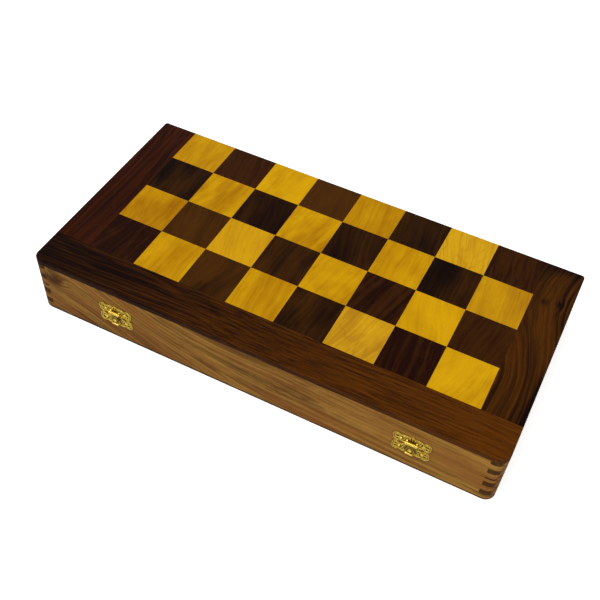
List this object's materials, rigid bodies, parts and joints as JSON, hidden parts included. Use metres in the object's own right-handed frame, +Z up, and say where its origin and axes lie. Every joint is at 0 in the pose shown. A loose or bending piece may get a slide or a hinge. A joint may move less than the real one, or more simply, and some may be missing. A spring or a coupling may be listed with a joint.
{
  "type": "folding chess set",
  "caption": "Folding wooden chess box: two hinged finger-jointed halves with the board on their outer faces, brass clasps in front and the men in foam inserts inside.",
  "frame": {"origin": "centre of the closed box's underside, which is the tray half's playing face", "axes": "+X along the length of the box, +Y from the clasps in front to the hinges at the back, +Z up"},
  "size_m": [0.4572, 0.2351, 0.064],
  "materials": {
    "wall_wood": "satin lacquered walnut-coloured wood",
    "rail_wood": "satin lacquered dark rosewood-coloured wood",
    "light_wood": "satin lacquered yellow wood",
    "dark_wood": "satin lacquered dark brown wood",
    "plywood": "plain thin plywood",
    "brass": "stamped yellow brass, lightly polished",
    "foam": "dark green flocked foam",
    "baize": "green baize",
    "boxwood": "polished boxwood colour",
    "ebonised_wood": "polished dark brown wood"
  },
  "bodies": {
    "tray": {"tray_front_wall": "wall_wood", "tray_back_wall": "wall_wood", "tray_left_wall": "wall_wood", "tray_right_wall": "wall_wood", "tray_panel": "plywood", "tray_light_squares": "light_wood", "tray_dark_squares": "dark_wood", "tray_front_rail": "rail_wood", "tray_left_rail": "rail_wood", "tray_right_rail": "rail_wood", "tray_foam_insert": "foam", "tray_hinge_screws": "brass", "tray_hinge_leaves": "brass", "hinge_pins": "brass", "clasp_lower_plates": "brass", "clasp_lower_nails": "brass", "black_king": "ebonised_wood", "black_queen": "ebonised_wood", "black_bishops": "ebonised_wood", "black_knights": "ebonised_wood", "black_rooks": "ebonised_wood", "black_pawns": "ebonised_wood", "black_base_felts": "baize"},
    "lid": {"lid_front_wall": "wall_wood", "lid_back_wall": "wall_wood", "lid_left_wall": "wall_wood", "lid_right_wall": "wall_wood", "lid_panel": "plywood", "lid_light_squares": "light_wood", "lid_dark_squares": "dark_wood", "lid_front_rail": "rail_wood", "lid_left_rail": "rail_wood", "lid_right_rail": "rail_wood", "lid_foam_insert": "foam", "lid_hinge_screws": "brass", "lid_hinge_leaves": "brass", "clasp_upper_plates": "brass", "clasp_upper_nails": "brass", "clasp_tongue_pins": "brass", "white_king": "boxwood", "white_queen": "boxwood", "white_bishops": "boxwood", "white_knights": "boxwood", "white_rooks": "boxwood", "white_pawns": "boxwood", "white_base_felts": "baize"},
    "clasp_left_tongue": {"clasp_left_tongue": "brass"},
    "clasp_right_tongue": {"clasp_right_tongue": "brass"}
  },
  "joints": [
    {"name": "lid_hinge", "type": "hinge", "parent": "tray", "child": "lid", "pos_m": [0, 0.11445, 0.032], "axis": [-1, 0, 0], "range_deg": [0, 180]},
    {"name": "left_tongue_hinge", "type": "hinge", "parent": "lid", "child": "clasp_left_tongue", "pos_m": [-0.1406, -0.11695, 0.0372], "axis": [-1, 0, 0], "range_deg": [0, 175]},
    {"name": "right_tongue_hinge", "type": "hinge", "parent": "lid", "child": "clasp_right_tongue", "pos_m": [0.1516, -0.11695, 0.0372], "axis": [-1, 0, 0], "range_deg": [0, 175]}
  ]
}
